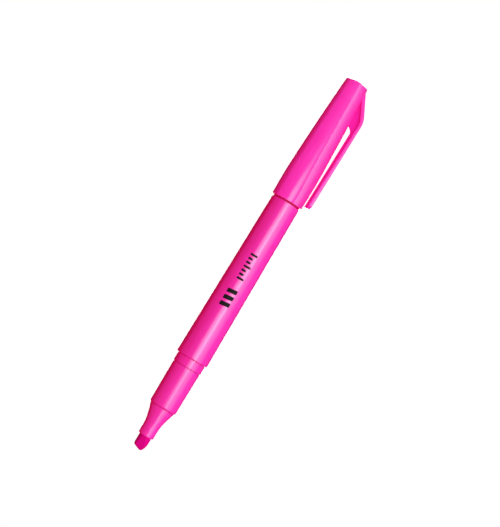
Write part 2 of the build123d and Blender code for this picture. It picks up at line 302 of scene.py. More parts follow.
# ---------------------------------------------------------------- materials

class Nodes:
    """Short names for building a material's node tree."""

    def __init__(self, name):
        self.material = bpy.data.materials.new(name)
        self.material.use_nodes = True
        self.tree = self.material.node_tree
        self.shader = self.tree.nodes["Principled BSDF"]
        self.place = self.add("ShaderNodeTexCoord").outputs["Object"]

    def add(self, kind, **values):
        node = self.tree.nodes.new(kind)
        for key, value in values.items():
            if key in node.inputs:
                node.inputs[key].default_value = value
            else:
                setattr(node, key, value)
        return node

    def link(self, source, target):
        self.tree.links.new(source, target)

    def set(self, **values):
        for key, value in values.items():
            self.shader.inputs[key.replace("_", " ")].default_value = value

    def noise(self, scale, detail=2.0, stretch=None, roughness=0.5):
        """Noise by place on the piece; scale is features per metre, stretch scales each axis."""
        source = self.place
        if stretch:
            mapping = self.add("ShaderNodeMapping", Scale=stretch)
            self.link(source, mapping.inputs["Vector"])
            source = mapping.outputs["Vector"]
        noise = self.add("ShaderNodeTexNoise", Scale=scale, Detail=detail, Roughness=roughness)
        self.link(source, noise.inputs["Vector"])
        return noise.outputs["Fac"]

    def ramp(self, source, low, high, start=0.3, end=0.7):
        """Map a 0 to 1 value between two colours or numbers."""
        ramp = self.add("ShaderNodeValToRGB")
        ramp.color_ramp.elements[0].position = start
        ramp.color_ramp.elements[1].position = end
        ramp.color_ramp.elements[0].color = low if isinstance(low, tuple) else (low, low, low, 1)
        ramp.color_ramp.elements[1].color = high if isinstance(high, tuple) else (high, high, high, 1)
        self.link(source, ramp.inputs["Fac"])
        return ramp.outputs["Color"]

    def bump(self, heights):
        """Stack of bumps, each (source, strength, distance in metres)."""
        normal = None
        for source, strength, distance in heights:
            bump = self.add("ShaderNodeBump", Strength=strength, Distance=distance)
            self.link(source, bump.inputs["Height"])
            if normal:
                self.link(normal, bump.inputs["Normal"])
            normal = bump.outputs["Normal"]
        self.link(normal, self.shader.inputs["Normal"])


def pink_plastic(name, deep, bright, gloss_low, gloss_high, coat=1.0, painted_glow=0.54):
    """Glossy moulded fluorescent plastic: faint flow variation, fine handling marks in the gloss.
    painted_glow is painted light: the plastic gives off light of its own, as a lamp would, standing in
    for its bright fluorescent look; coat is the gloss of the moulded surface."""
    n = Nodes(name)
    n.link(n.ramp(n.noise(260, 3, (0.25, 1, 1)), deep, bright), n.shader.inputs["Base Color"])
    marks = n.noise(2600, 4, (0.06, 1, 1), 0.6)
    n.link(n.ramp(marks, gloss_low, gloss_high, 0.35, 0.75), n.shader.inputs["Roughness"])
    n.bump([(n.noise(900, 2), 0.003, 0.00004), (n.noise(9000, 2), 0.02, 0.00001)])
    n.set(IOR=1.5, Subsurface_Weight=0.15, Subsurface_Radius=(1.0, 0.12, 0.3), Subsurface_Scale=0.001)
    n.set(Coat_Weight=coat, Coat_Roughness=0.03, Coat_IOR=1.45, Specular_IOR_Level=0.15)
    # Painted glow: the plastic gives off light of its own, as a lamp would.
    n.set(Emission_Color=(1.0, 0.001, 0.115, 1), Emission_Strength=painted_glow)
    return n.material


def nib_fibre():
    """Pressed fibre soaked with ink: streaks along the rod, a soft dry-looking surface, and a painted
    glow.
    """
    n = Nodes("nib_fibre")
    streaks = n.noise(9000, 3, (0.12, 1, 1), 0.65)
    n.link(n.ramp(streaks, (0.40, 0.0, 0.16, 1), (0.54, 0.0, 0.23, 1)), n.shader.inputs["Base Color"])
    n.link(n.ramp(n.noise(5000, 2), 0.55, 0.8), n.shader.inputs["Roughness"])
    n.bump([(streaks, 0.5, 0.00004), (n.noise(16000, 2), 0.35, 0.00002)])
    n.set(Specular_IOR_Level=0.04)
    # Painted glow: the nib gives off light of its own, as a lamp would.
    n.set(Emission_Color=(1.0, 0.0, 0.12, 1), Emission_Strength=0.27)
    return n.material


def ink_core():
    """Fibre bundle of the reservoir: long streaks of unevenly soaked fibre."""
    n = Nodes("ink_core")
    streaks = n.noise(5000, 4, (0.04, 1, 1), 0.7)
    n.link(n.ramp(streaks, (0.75, 0.03, 0.25, 1), (0.95, 0.18, 0.5, 1)), n.shader.inputs["Base Color"])
    n.link(n.ramp(streaks, 0.6, 0.85), n.shader.inputs["Roughness"])
    n.bump([(streaks, 0.6, 0.00006)])
    return n.material


def clear_film():
    """Thin wrapped film: nearly clear, with faint wrinkles."""
    n = Nodes("clear_film")
    wrinkles = n.noise(700, 3, (0.3, 1, 1))
    n.link(n.ramp(wrinkles, (0.92, 0.82, 0.88, 1), (0.98, 0.92, 0.96, 1)), n.shader.inputs["Base Color"])
    n.link(n.ramp(wrinkles, 0.08, 0.22), n.shader.inputs["Roughness"])
    n.bump([(wrinkles, 0.3, 0.00006)])
    n.set(Alpha=0.6, IOR=1.5)
    return n.material


def liner_plastic():
    """Natural, slightly milky moulded plastic of the inner cap."""
    n = Nodes("liner_plastic")
    haze = n.noise(500, 3)
    n.link(n.ramp(haze, (0.80, 0.74, 0.78, 1), (0.90, 0.86, 0.88, 1)), n.shader.inputs["Base Color"])
    n.link(n.ramp(n.noise(3000, 3), 0.38, 0.5), n.shader.inputs["Roughness"])
    n.bump([(n.noise(6000, 2), 0.08, 0.00001)])
    n.set(Subsurface_Weight=0.3, Subsurface_Radius=(0.8, 0.6, 0.7), Subsurface_Scale=0.002)
    return n.material


def print_ink():
    """Pad-printed black ink: satin, with slightly uneven cover."""
    n = Nodes("print_ink")
    cover = n.noise(7000, 3)
    low, high = (0.003, 0.001, 0.002, 1), (0.010, 0.004, 0.007, 1)
    n.link(n.ramp(cover, low, high), n.shader.inputs["Base Color"])
    n.link(n.ramp(cover, 0.6, 0.75), n.shader.inputs["Roughness"])
    n.bump([(cover, 0.1, 0.000005)])
    n.set(Specular_IOR_Level=0.15)
    return n.material


def studio_white():
    """Evenly lit white of the floor and the backdrop."""
    n = Nodes("studio_white")
    low, high = (0.93, 0.93, 0.93, 1), (0.95, 0.95, 0.95, 1)
    n.link(n.ramp(n.noise(30, 2), low, high), n.shader.inputs["Base Color"])
    n.set(Roughness=0.9, Specular_IOR_Level=0.1)
    n.set(Emission_Color=(1, 1, 1, 1), Emission_Strength=1.0)
    return n.material


DEEP_PINK = (0.46, 0.026, 0.37, 1)
BRIGHT_PINK = (0.50, 0.036, 0.41, 1)
# Painted shade: darker copy of the pink plastic, with little glow and no coat, for the cap's bore, where
# shade falls inside the cap.
PINK_BORE_SHADE = pink_plastic(
    "pink_bore_painted_shade", (0.34, 0.004, 0.22, 1), (0.38, 0.006, 0.26, 1), 0.5, 0.6, coat=0, painted_glow=0.16,
)
# Painted shade: very dark copy of the pink plastic, without coat, for the walls and floors of the ring
# grooves.
PINK_GROOVE_SHADE = pink_plastic(
    "pink_groove_painted_shade", (0.10, 0.001, 0.02, 1), (0.12, 0.002, 0.03, 1), 0.6, 0.7, coat=0, painted_glow=0.42,
)
# Painted shade: darker copy of the pink plastic, without coat, for the clip's rib and web under the
# strip.
PINK_WEB_SHADE = pink_plastic(
    "pink_web_painted_shade", (0.32, 0.001, 0.25, 1), (0.36, 0.002, 0.28, 1), 0.6, 0.7, coat=0, painted_glow=0.5,
)
PINK_BARREL = pink_plastic("pink_barrel", DEEP_PINK, BRIGHT_PINK, 0.46, 0.54)
PINK_CAP = pink_plastic("pink_cap", DEEP_PINK, BRIGHT_PINK, 0.46, 0.54)
NIB_FIBRE = nib_fibre()
LINER = liner_plastic()
PRINT_INK = print_ink()


# ---------------------------------------------------------------- the pen

def barrel_r(x):
    """Outer radius of the barrel at a station."""
    return along(x, (BARREL_FRONT, BARREL_FRONT_R), (CAP_MOUTH, BARREL_MOUTH_R))


def make_barrel():
    socket_r = SPIGOT_R + FIT_GAP
    ring_start = CAP_MOUTH - STOP_RING_WIDTH
    ring_floor_r = BARREL_MOUTH_R - STOP_RING_DEPTH
    front = (BARREL_FRONT, (socket_r + BARREL_FRONT_R) / 2, 0)
    outline = rounded([
        front,
        (BARREL_FRONT, BARREL_FRONT_R, 0.16),
        (ring_start, barrel_r(ring_start), 0.04),
        (ring_start, ring_floor_r, 0.05),
        (CAP_MOUTH, ring_floor_r, 0.05),
        (CAP_MOUTH, BARREL_MOUTH_R, 0.04),
        (BARREL_REAR, barrel_r(BARREL_REAR), 0.15),
        (BARREL_REAR, barrel_r(BARREL_REAR) - BARREL_WALL, 0.1),
        (SPIGOT_END + 0.5, barrel_r(SPIGOT_END + 0.5) - BARREL_WALL, 0.1),
        (SPIGOT_END, socket_r, 0.1),
        (BARREL_FRONT, socket_r, 0.05),
        front,
    ])
    tube = finish_piece(lathe("barrel_tube", outline), "pen", "pink_barrel", PINK_BARREL, "barrel")
    # The stop groove in front of the cap's mouth gets painted shade.
    return shade_grooves(tube, (ring_start - 0.01, CAP_MOUTH + 0.01, BARREL_MOUTH_R - 0.03))


def vented_bore(x, r, angle):
    """The nib's bore with four shallow grooves that let air past the nib."""
    if r > NIB_R + 0.1 or not NIB_EXPOSED - 0.1 < x < NIB_BORE_END:
        return r
    groove_r = 0.35
    step = math.pi / 2
    off = (angle - math.pi / 4 + step / 2) % step - step / 2
    across = NIB_R * math.sin(off)
    if abs(across) >= groove_r:
        return r
    return max(r, NIB_R * math.cos(off) + math.sqrt(groove_r ** 2 - across ** 2))


def make_front_section():
    flare = cubic_through(FLARE_POINTS, 0.02, 0.42)
    steps = 28
    run = FLARE_END - NOSE_STRAIGHT_END - 0.25
    flare_stations = [NOSE_STRAIGHT_END + run * k / steps for k in range(steps + 1)]
    flare_line = [(x, flare(x), 0) for x in flare_stations]
    half = RING_WIDTH / 2
    bead = (BARREL_FRONT + SPIGOT_END) / 2
    bead_height = 0.1
    bore_r = NIB_R + FIT_GAP
    start = (NIB_EXPOSED, (NIB_R + NOSE_R) / 2, 0)
    outline = rounded([
        start,
        (NIB_EXPOSED, NOSE_R, 0.3),
        *flare_line,
        (FLARE_END - half, flare(FLARE_END - half), 0.04),
        (FLARE_END - half, flare(FLARE_END) - RING_DEPTH, 0.03),
        (FLARE_END + half, flare(FLARE_END) - RING_DEPTH, 0.03),
        (FLARE_END + half, flare(FLARE_END + half) + 0.02, 0.04),
        (SECTION_START, SECTION_FRONT_R, 0.25),
        (BAND_START - RING_WIDTH, SECTION_REAR_R, 0.04),
        (BAND_START - RING_WIDTH, SECTION_REAR_R - RING_DEPTH, 0.03),
        (BAND_START, SECTION_REAR_R - RING_DEPTH, 0.03),
        (BAND_START, BAND_R, 0.06),
        (BARREL_FRONT - RING_WIDTH, BAND_R, 0.04),
        (BARREL_FRONT - RING_WIDTH, BAND_R - RING_DEPTH, 0.03),
        (BARREL_FRONT, BAND_R - RING_DEPTH, 0.01),
        (BARREL_FRONT + 0.05, SPIGOT_R, 0.01),
        (bead - 0.45, SPIGOT_R, 0.05),
        (bead - 0.15, SPIGOT_R + bead_height, 0.05),
        (bead + 0.15, SPIGOT_R + bead_height, 0.05),
        (bead + 0.45, SPIGOT_R, 0.05),
        (SPIGOT_END, SPIGOT_R, 0.3),
        (SPIGOT_END, CHAMBER_R, 0.1),
        (NIB_BORE_END + 1, CHAMBER_R, 0.2),
        (NIB_BORE_END + 0.02, NIB_R + 0.7, 0.1),
        (NIB_BORE_END, bore_r, 0.1),
        (NIB_EXPOSED, bore_r, 0.05),
        start,
    ])
    section = lathe("front_section_grip", outline, vented_bore)
    finish_piece(section, "pen", "pink_barrel", PINK_BARREL, "front_section")
    # The three ring grooves get painted shade.
    grooves = (
        (FLARE_END - half, FLARE_END + half, flare(FLARE_END)),
        (BAND_START - RING_WIDTH, BAND_START, SECTION_REAR_R),
        (BARREL_FRONT - RING_WIDTH, BARREL_FRONT + 0.06, BAND_R),
    )
    return shade_grooves(section, *((x0 - 0.01, x1 + 0.01, r - 0.04) for x0, x1, r in grooves))


def make_nib():
    """Chisel nib. Its front is a rounded wedge, met by rays from a point on the axis: each ray stops at
    the nearest of the rod's side, the slanted writing edge, the back bevel and the two flats."""
    base = 5.3
    rear = 35.0
    softness = 14.0
    planes = [
        ((0.05, 0.75, 0), (-0.914, -0.406, 0)),
        ((0.35, 1.30, 0), (-0.42, 0.907, 0)),
        ((0.02, 0.95, 0), (-0.97, 0.24, 0)),
        ((0.0, 0, 0.62), (-0.325, 0, 0.946)),
        ((0.0, 0, -0.62), (-0.325, 0, -0.946)),
    ]
    origin = np.array((base, 0, 0), float)

    def reach(direction):
        hits = []
        across = math.hypot(direction[1], direction[2])
        if across > 1e-9:
            hits.append(NIB_R / across)
        for point, normal in planes:
            facing = float(np.dot(normal, direction))
            if facing > 1e-6:
                hits.append(float(np.dot(np.array(point) - origin, normal)) / facing)
        return sum(h ** -softness for h in hits) ** (-1 / softness)

    polar_steps = 90
    segments = 128
    vertices = [tuple(origin + np.array((-1.0, 0, 0)) * reach(np.array((-1.0, 0, 0))))]
    rows = [[0] * segments]
    for i in range(1, polar_steps + 1):
        polar = math.pi / 2 * i / polar_steps
        rows.append([len(vertices) + k for k in range(segments)])
        for k in range(segments):
            angle = 2 * math.pi * k / segments
            direction = np.array((
                -math.cos(polar),
                math.sin(polar) * math.cos(angle),
                math.sin(polar) * math.sin(angle),
            ))
            vertices.append(tuple(origin + direction * reach(direction)))
    for x, r in rounded([(base, NIB_R, 0), (rear, NIB_R, 0.4), (rear, 0, 0)])[1:]:
        if r < ON_AXIS:
            rows.append([len(vertices)] * segments)
            vertices.append((x, 0, 0))
            continue
        rows.append([len(vertices) + k for k in range(segments)])
        for k in range(segments):
            angle = 2 * math.pi * k / segments
            vertices.append((x, r * math.cos(angle), r * math.sin(angle)))
    faces = []
    for low, high in zip(rows, rows[1:]):
        for k in range(segments):
            n = (k + 1) % segments
            corners = [low[k], high[k], high[n], low[n]]
            face = [c for i, c in enumerate(corners) if c != corners[i - 1]]
            if len(face) > 2:
                faces.append(face)
    nib = outward(build("chisel_nib", vertices, faces))
    return finish_piece(nib, "pen", "nib_fibre", NIB_FIBRE, "nib")


def make_rear_plug():
    skirt_r = barrel_r(BARREL_REAR) - BARREL_WALL - FIT_GAP
    skirt_wall, end_wall, flange_r = 0.9, 1.0, 4.85
    outline = rounded([
        (PLUG_END - end_wall, 0, 0),
        (PLUG_END - end_wall, skirt_r - skirt_wall, 0.3),
        (PLUG_FRONT, skirt_r - skirt_wall, 0.1),
        (PLUG_FRONT, skirt_r, 0.3),
        (BARREL_REAR, skirt_r, 0.03),
        (BARREL_REAR, flange_r, 0.12),
        (BARREL_REAR + 1.2, flange_r, 0.5),
        (PLUG_END - 0.35, 4.0, 0.6),
        (PLUG_END, 2.65, 0.3),
        (PLUG_END, 0, 0),
    ])
    return finish_piece(lathe("barrel_plug", outline), "pen", "pink_barrel", PINK_BARREL, "rear_plug")


CAP_OUTER = cubic_through(CAP_SIDE, 0.03, -0.062)
CAP_SIDE_END = 143.5
CAP_BORE_GAP = 0.05
CAP_BORE_DEPTH = 45.4
BORE_STEP = (24.0, 4.60)
BORE_TAPER_END = (38.5, 3.80)


def cap_r(x):
    """Outer radius of the cap's side at a station."""
    return CAP_OUTER(x - CAP_MOUTH)


def make_cap_shell():
    m = CAP_MOUTH
    side = [(m + d, CAP_OUTER(d), 0) for d in np.linspace(0.3, 46.0, 70)]
    rise = CAP_END - (m + CAP_DOME_DEPTH)
    sphere = (CAP_DOME_R ** 2 + rise ** 2) / (2 * rise)
    widest = math.asin(CAP_DOME_R / sphere)
    dome_steps = 14
    dome = [
        (
            CAP_END - sphere * (1 - math.cos(widest * k / dome_steps)),
            sphere * math.sin(widest * k / dome_steps),
            0,
        )
        for k in range(dome_steps - 1, -1, -1)
    ]
    corner = (m + CAP_DOME_DEPTH - 0.10, CAP_OUTER(46.3) - 0.06, 0.55)
    mouth = (m, 5.45, 0)
    outline = rounded([
        mouth,
        (m, CAP_OUTER(0.12), 0.12),
        *side,
        corner,
        *dome,
    ], steps=7)
    bore = rounded([
        (m + CAP_BORE_DEPTH, 0, 0),
        (m + CAP_BORE_DEPTH, 2.7, 0.3),
        (m + 44.6, 3.1, 0.3),
        (m + BORE_TAPER_END[0], BORE_TAPER_END[1], 0.1),
        (m + BORE_STEP[0], BORE_STEP[1], 0.1),
        (m + 18.7, barrel_r(m + 18.7) + CAP_BORE_GAP, 0.1),
        (m + 0.5, barrel_r(m) + CAP_BORE_GAP, 0.1),
        (m, barrel_r(m) + 0.20, 0.03),
        mouth,
    ])
    outer_v, outer_f = lathe_mesh(outline)
    inner_v, inner_f = lathe_mesh(bore[:-1])
    offset = len(outer_v)
    last = len(bore[:-1]) - 1
    first_outer = list(range(SEGMENTS))
    last_inner = [offset + 1 + (last - 1) * SEGMENTS + k for k in range(SEGMENTS)]
    faces = outer_f + [[i + offset for i in f] for f in inner_f]
    for k in range(SEGMENTS):
        n = (k + 1) % SEGMENTS
        faces.append([last_inner[k], first_outer[k], first_outer[n], last_inner[n]])
    shell = outward(build("cap_shell", outer_v + inner_v, faces))
    finish_piece(shell, "cap", "pink_cap", PINK_CAP, "cap")

    # Faces inside the bore get painted shade.
    def in_bore(at):
        deep = at.x - m
        inside_r = min(CAP_OUTER(min(deep, 46.0)) - 0.2, 5.4)
        return 0.3 < deep < CAP_BORE_DEPTH + 0.1 and math.hypot(at.y, at.z) < inside_r

    return shade(shell, PINK_BORE_SHADE, in_bore)


def make_inner_cap():
    m = CAP_MOUTH
    front, rear, cavity_end = 25.6, 37.9, 36.9
    front_r = along(front, BORE_STEP, BORE_TAPER_END) - FIT_GAP
    rear_r = along(rear, BORE_STEP, BORE_TAPER_END) - FIT_GAP
    seal_r, cavity_r = 2.87, 3.10
    outline = rounded([
        (m + rear, 0, 0),
        (m + rear, rear_r, 0.3),
        (m + front, front_r, 0.1),
        (m + front, 3.70, 0.1),
        (m + 27.4, seal_r, 0.3),
        (m + 30.6, seal_r, 0.1),
        (m + 30.95, cavity_r, 0.1),
        (m + cavity_end, cavity_r, 0.3),
        (m + cavity_end, 0, 0),
    ])
    return finish_piece(lathe("inner_cap_liner", outline), "cap", "liner_plastic", LINER, "inner_cap")


# ---------------------------------------------------------------- the clip

def clip_top(x):
    """Height of the strip's outer face above the pen's axis."""
    if x <= CLIP_BEND:
        return along(x, (CLIP_TIP, CLIP_TIP_OUTER_R), (CLIP_BEND, CLIP_BEND_OUTER_R))
    if x >= CLIP_BEND_END[0]:
        return along(x, CLIP_BEND_END, CLIP_ROOT_END)
    return BEND(x)


ROOT_SLOPE = (CLIP_ROOT_END[1] - CLIP_BEND_END[1]) / (CLIP_ROOT_END[0] - CLIP_BEND_END[0])
BEND = cubic_through([(CLIP_BEND, CLIP_BEND_OUTER_R), CLIP_BEND_END], 0.012, ROOT_SLOPE)


def clip_underside(x):
    """Height of the strip's inner face, which turns down at a soft knee into the root."""
    blend = 0.8
    tip = (CLIP_TIP, CLIP_TIP_OUTER_R - CLIP_TIP_THICKNESS)
    arm = along(x, tip, CLIP_KNEE)
    root = along(x, CLIP_KNEE, UNDERSIDE_ROOT_END)
    t = min(1.0, max(0.0, (x - CLIP_KNEE[0] + blend) / (2 * blend)))
    bend_down = along(CLIP_KNEE[0] + blend, CLIP_KNEE, UNDERSIDE_ROOT_END)
    bend_down -= along(CLIP_KNEE[0] + blend, tip, CLIP_KNEE)
    return root if t >= 1 else arm + bend_down * t * t


def rib_bottom(x):
    """Height of the rib's free edge; at the web it drops into the cap's wall."""
    sunk = cap_r(min(x, CAP_SIDE_END)) - 0.35
    if x >= WEB_FOOT[0]:
        return sunk
    rib = along(x, (CLIP_TIP, RIB_TIP_INNER_R), RIB_ROOT)
    edge = along(x, RIB_ROOT, (WEB_FOOT[0], sunk))
    before, after = 0.9, 0.45
    if x < RIB_ROOT[0] - before:
        return rib
    if x > RIB_ROOT[0] + after:
        return edge
    t = (x - RIB_ROOT[0] + before) / (after + before)
    end = along(RIB_ROOT[0] + after, RIB_ROOT, (WEB_FOOT[0], sunk))
    start = along(RIB_ROOT[0] - before, (CLIP_TIP, RIB_TIP_INNER_R), RIB_ROOT)
    return (1 - t) ** 2 * start + 2 * t * (1 - t) * RIB_ROOT[1] + t * t * end


def strip_half_width(x):
    """The strip has round plan corners at its free end, and narrows along the root."""
    corner = 1.3
    into = x - CLIP_TIP
    if into < corner:
        return CLIP_HALF_WIDTH - corner + math.sqrt(max(0, corner ** 2 - (corner - into) ** 2))
    if x > CLIP_BEND_END[0]:
        return along(x, (CLIP_BEND_END[0], CLIP_HALF_WIDTH), (CLIP_ROOT_END[0], CLIP_ROOT_HALF_WIDTH))
    return CLIP_HALF_WIDTH


def clip_section(x):
    """Half of the T-shaped section at a station, as (height, half-width) points from the top's middle
    round to the rib's bottom middle. Every station has the same number of points."""
    side_round = 0.9
    into = x - CLIP_TIP
    top = clip_top(x)
    if into < side_round:
        top -= side_round - math.sqrt(max(0, side_round ** 2 - (side_round - into) ** 2))
    under = clip_underside(x)
    tip_round = 0.15
    if into < tip_round:
        under += tip_round - math.sqrt(max(0, tip_round ** 2 - (tip_round - into) ** 2))
    wide = strip_half_width(x)
    rib = RIB_HALF_WIDTH
    outer_round = min(0.28, (top - under) * 0.4, wide * 0.4)
    lower_round = min(0.18, (top - under) * 0.3)
    fillet = 0.22 * smooth_step(into, 0.0, 0.5)
    bottom = rib_bottom(x)
    front_round = 0.3
    if into < front_round:
        bottom += front_round - math.sqrt(max(0, front_round ** 2 - (front_round - into) ** 2))
    web = smooth_step(x, 130.3, 131.3)
    edge_round = min(0.25, (under - bottom) * 0.45)
    foot = 0.30 * web
    points = [(top, (wide - outer_round) * k / 4) for k in range(5)]
    for k in range(1, 6):
        a = math.pi / 2 * k / 5
        points.append((top - outer_round * (1 - math.cos(a)), wide - outer_round * (1 - math.sin(a))))
    for k in range(0, 4):
        a = math.pi / 2 * k / 3
        points.append((under + lower_round * (1 - math.sin(a)), wide - lower_round * (1 - math.cos(a))))
    span = max(0.0, wide - lower_round - rib - fillet)
    for k in (1, 2):
        points.append((under, rib + fillet + span * (1 - k / 3)))
    for k in range(0, 5):
        a = math.pi / 2 * k / 4
        points.append((under - fillet * (1 - math.cos(a)), rib + fillet * (1 - math.sin(a))))
    surface = math.sqrt(max(0.0, cap_r(min(x, CAP_SIDE_END)) ** 2 - rib ** 2))
    side_top = under - fillet
    free_end = bottom + edge_round
    side_end = free_end * (1 - web) + (surface + foot) * web
    side_end = min(side_end, side_top - 0.01)
    for k in range(1, 6):
        points.append((side_top + (side_end - side_top) * k / 5, rib))
    for k in range(1, 7):
        a = math.pi / 2 * k / 6
        plain = (bottom + edge_round * (1 - math.sin(a)), rib - edge_round * (1 - math.cos(a)))
        flared = (surface + foot * (1 - math.sin(a)), rib + foot * (1 - math.cos(a)))
        points.append((
            plain[0] * (1 - web) + min(flared[0], side_end) * web,
            plain[1] * (1 - web) + flared[1] * web,
        ))
    last = points[-1]
    points.append((min(last[0], bottom), last[1] * 0.5))
    points.append((min(last[0], bottom), 0.0))
    return points


def make_clip():
    """The sections joined into one skin, close together where the shape turns."""
    end_run, end_steps = 1.3, 10
    tip = [CLIP_TIP + end_run * (1 - math.cos(math.pi / 2 * k / end_steps)) for k in range(end_steps)]
    arm = list(np.linspace(CLIP_TIP + end_run, 128.0, 30))
    web = list(np.linspace(128.3, 131.6, 24))
    root = list(np.linspace(131.9, 138.0, 26)) + list(np.linspace(138.4, 145.0, 20))
    vertices, rows = [], []
    for x in tip + arm + web + root:
        half = clip_section(float(x))
        loop = [(x, h, w) for h, w in half] + [(x, h, -w) for h, w in half[-2:0:-1]]
        rows.append([len(vertices) + k for k in range(len(loop))])
        vertices += loop
    count = len(rows[0])
    faces = [list(reversed(rows[0])), list(rows[-1])]
    for low, high in zip(rows, rows[1:]):
        for k in range(count):
            n = (k + 1) % count
            faces.append([low[k], low[n], high[n], high[k]])
    clip = outward(build("pocket_clip", vertices, faces))
    clip.data.materials.append(PINK_CAP)
    # The rib and web under the strip get painted shade.
    shade(clip, PINK_WEB_SHADE, lambda at: at.y < clip_underside(at.x) - 0.1)
    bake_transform(clip)
    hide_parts("clip_arm")
    return clip


# ---------------------------------------------------------------- print

PRINT_ANGLE = -math.pi / 2


def printed_bar(name, x0, x1, across0, across1, slant=0.0):
    """Thin patch of ink wrapped on the barrel. across is measured round the barrel, in mm, from the
    middle of the side that faces the camera, towards the clip."""
    lift, sink = 0.018, 0.01
    rows = 14
    corner_steps = 4
    radius = min(0.3 * abs(x1 - x0), 0.3 * abs(across1 - across0), 0.22)
    loop = []
    corners = [(x1, across1, 0), (x0, across1, 1), (x0, across0, 2), (x1, across0, 3)]
    for cx, cy, turn in corners:
        sx = -1 if cx == x1 else 1
        sy = -1 if cy == across1 else 1
        for k in range(corner_steps + 1):
            a = math.pi / 2 * (turn + k / corner_steps)
            px = cx + sx * radius + radius * math.cos(a)
            py = cy + sy * radius + radius * math.sin(a)
            loop.append((px, py))

    def place(px, py, height):
        px = px + slant * (py - (across0 + across1) / 2)
        r = barrel_r(px) + height
        angle = PRINT_ANGLE + py / barrel_r(px)
        return (px, r * math.cos(angle), r * math.sin(angle))

    shape = bmesh.new()
    flat = [shape.verts.new((px, py, 0)) for px, py in loop]
    shape.faces.new(flat)
    for k in range(1, rows):
        level = across0 + (across1 - across0) * k / rows
        geometry = shape.verts[:] + shape.edges[:] + shape.faces[:]
        bmesh.ops.bisect_plane(shape, geom=geometry, plane_co=(0, level, 0), plane_no=(0, 1, 0))
    shape.verts.ensure_lookup_table()
    top = [tuple(v.co) for v in shape.verts]
    faces = [[v.index for v in f.verts] for f in shape.faces]
    rim = [e for e in shape.edges if len(e.link_faces) == 1]
    pairs = [(e.verts[0].index, e.verts[1].index) for e in rim]
    shape.free()
    n = len(top)
    vertices = [place(px, py, lift) for px, py, _ in top]
    vertices += [place(px, py, -sink) for px, py, _ in top]
    faces = faces + [[i + n for i in reversed(f)] for f in faces]
    faces += [[a, b, b + n, a + n] for a, b in pairs]
    bar = outward(build(name, vertices, faces, smooth=False))
    bar.data.materials.append(PRINT_INK)
    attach(bar, "pen")
    return bar


def make_print():
    """Generic marks in place of lettering: three bold strokes and a row of thin ones."""
    bold_start, bold_step, bold_wide = 56.3, 2.45, 1.5
    for i in range(3):
        start = bold_start + i * bold_step
        printed_bar(f"print_bold_{i + 1}", start, start + bold_wide, -1.85, 1.75, slant=0.12)
    thin_start, thin_step, thin_wide, foot = 66.6, 1.52, 0.75, -1.25
    for i, height in enumerate([2.6, 1.7, 1.7, 2.6, 1.7, 1.7, 2.6]):
        start = thin_start + i * thin_step
        printed_bar(f"print_thin_{i + 1}", start, start + thin_wide, foot, foot + height)


# ---------------------------------------------------------------- studio

PIXEL_MM = 0.339
CENTRE_X = 73.4
CENTRE_OUT = 0.25
LENS = 130.0
SENSOR = 36.0
FRAME_WIDE, FRAME_HIGH = 500, 527
PEN_TURN = math.radians(31.02)
CAP_AWAY = math.radians(3.4)


def make_camera():
    """The pen points up and to the right, seen square to the clip's side, its cap end a little away."""
    back = TOWARDS * math.cos(CAP_AWAY) - ALONG * math.sin(CAP_AWAY)
    pen_up = ALONG * math.cos(CAP_AWAY) + TOWARDS * math.sin(CAP_AWAY)
    up = pen_up * math.cos(PEN_TURN) - OUT * math.sin(PEN_TURN)
    right = pen_up * math.sin(PEN_TURN) + OUT * math.cos(PEN_TURN)
    distance = PIXEL_MM * MM * LENS * FRAME_HIGH / SENSOR
    target = PEN_TO_ROW @ Vector((CENTRE_X, CENTRE_OUT, 0))
    data = bpy.data.cameras.new("camera")
    data.lens = LENS
    data.sensor_width = SENSOR
    data.clip_start = 0.01
    data.clip_end = 10
    camera = bpy.data.objects.new("camera", data)
    camera.matrix_world = Matrix.Translation(target + back * distance) @ Matrix(
        (right, up, back)
    ).transposed().to_4x4()
    bpy.context.scene.collection.objects.link(camera)
    bpy.context.scene.camera = camera


def fade_light(data, fade):
    """Make an area light's brightness follow stops across it, or fall off softly from its middle."""
    data.use_nodes = True
    tree = data.node_tree
    emission = tree.nodes["Emission"]
    geometry = tree.nodes.new("ShaderNodeNewGeometry")
    ramp = tree.nodes.new("ShaderNodeValToRGB")
    if fade == "soft":
        gradient = tree.nodes.new("ShaderNodeTexGradient")
        gradient.gradient_type = "SPHERICAL"
        mapping = tree.nodes.new("ShaderNodeMapping")
        mapping.inputs["Location"].default_value = (-1, -1, 0)
        mapping.inputs["Scale"].default_value = (2, 2, 0)
        tree.links.new(geometry.outputs["Parametric"], mapping.inputs["Vector"])
        tree.links.new(mapping.outputs["Vector"], gradient.inputs["Vector"])
        tree.links.new(gradient.outputs["Fac"], ramp.inputs["Fac"])
        ramp.color_ramp.interpolation = "EASE"
        stops = [(0.0, 0.0), (0.8, 1.0)]
    else:
        split = tree.nodes.new("ShaderNodeSeparateXYZ")
        tree.links.new(geometry.outputs["Parametric"], split.inputs["Vector"])
        tree.links.new(split.outputs["Y"], ramp.inputs["Fac"])
        stops = fade
    elements = ramp.color_ramp.elements
    while len(elements) < len(stops):
        elements.new(0.5)
    for element, (position, level) in zip(elements, stops):
        element.position = position
        element.color = (level, level, level, 1)
    tree.links.new(ramp.outputs["Color"], emission.inputs["Color"])


